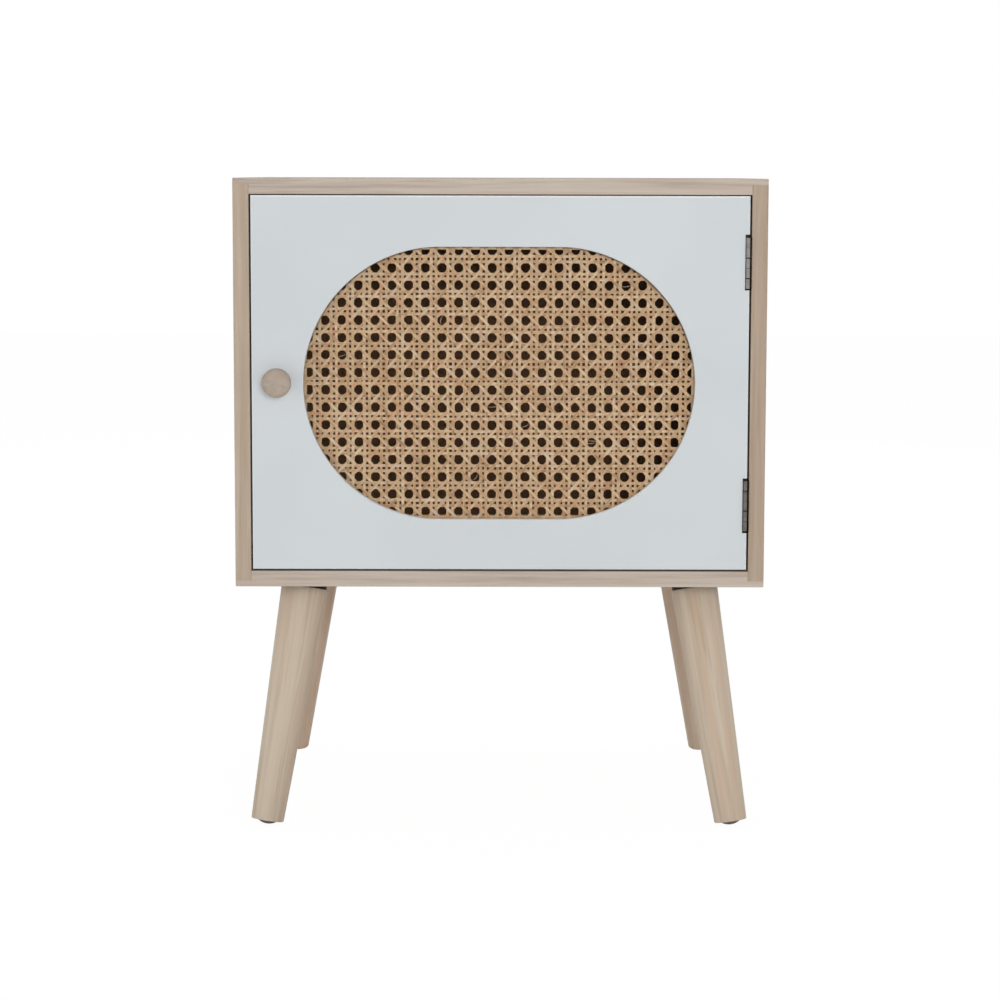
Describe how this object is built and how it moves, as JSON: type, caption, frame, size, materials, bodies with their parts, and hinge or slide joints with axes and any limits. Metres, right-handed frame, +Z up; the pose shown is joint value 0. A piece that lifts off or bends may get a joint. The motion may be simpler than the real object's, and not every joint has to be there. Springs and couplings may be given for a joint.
{
  "type": "side table",
  "caption": "Wooden side table cabinet on tapered splayed legs, with a hinged painted door that has a stadium-shaped window of woven cane and a round knob.",
  "frame": {"origin": "on the floor, under the middle of the whole table's bounding box, knob included", "axes": "+Z up, the door faces -Y, +X to the right of somebody facing the door"},
  "size_m": [0.4, 0.321, 0.4955],
  "materials": {
    "case_wood": "clear-coated solid wood, satin",
    "leg_wood": "clear-coated turned wood, satin",
    "knob_wood": "turned wood, satin",
    "dowel_wood": "plain beech",
    "batten_wood": "bare sawn wood",
    "hardboard": "smooth brown hardboard",
    "door_paint": "sprayed pale blue-grey paint on board, satin",
    "cane": "natural woven rattan cane",
    "hinge_steel": "dull nickel-plated steel",
    "zinc_steel": "zinc-plated steel",
    "blackened_steel": "black-painted stamped steel",
    "glide_plastic": "dark moulded plastic",
    "catch_plastic": "white moulded plastic",
    "ferrite": "sintered ferrite"
  },
  "bodies": {
    "case": {"back_panel": "hardboard", "back_panel_nails": "zinc_steel", "bottom_panel": "case_wood", "catch_housing": "catch_plastic", "catch_magnet": "ferrite", "catch_screws": "zinc_steel", "corner_dowels": "dowel_wood", "front_left_glide": "glide_plastic", "front_left_hanger_bolt": "zinc_steel", "front_left_leg": "leg_wood", "front_left_leg_plate": "blackened_steel", "front_right_glide": "glide_plastic", "front_right_hanger_bolt": "zinc_steel", "front_right_leg": "leg_wood", "front_right_leg_plate": "blackened_steel", "hinge_case_screws": "hinge_steel", "inner_pole_plate": "zinc_steel", "left_side_panel": "case_wood", "leg_plate_screws": "zinc_steel", "lower_hinge_case_leaf": "hinge_steel", "lower_hinge_pin": "hinge_steel", "outer_pole_plate": "zinc_steel", "rear_left_glide": "glide_plastic", "rear_left_hanger_bolt": "zinc_steel", "rear_left_leg": "leg_wood", "rear_left_leg_plate": "blackened_steel", "rear_right_glide": "glide_plastic", "rear_right_hanger_bolt": "zinc_steel", "rear_right_leg": "leg_wood", "rear_right_leg_plate": "blackened_steel", "right_side_panel": "case_wood", "top_panel": "case_wood", "upper_hinge_case_leaf": "hinge_steel", "upper_hinge_pin": "hinge_steel"},
    "door": {"batten_pins": "zinc_steel", "cane_panel": "cane", "door_knob": "knob_wood", "door_panel": "door_paint", "hinge_door_screws": "hinge_steel", "knob_screw": "zinc_steel", "left_batten": "batten_wood", "lower_batten": "batten_wood", "lower_hinge_door_leaf": "hinge_steel", "right_batten": "batten_wood", "strike_plate": "zinc_steel", "strike_screw": "zinc_steel", "upper_batten": "batten_wood", "upper_hinge_door_leaf": "hinge_steel"}
  },
  "joints": [
    {"name": "door_hinge", "type": "hinge", "parent": "case", "child": "door", "pos_m": [0.1852, -0.1399, 0.3415], "axis": [0, 0, 1], "range_deg": [0, 175]}
  ]
}
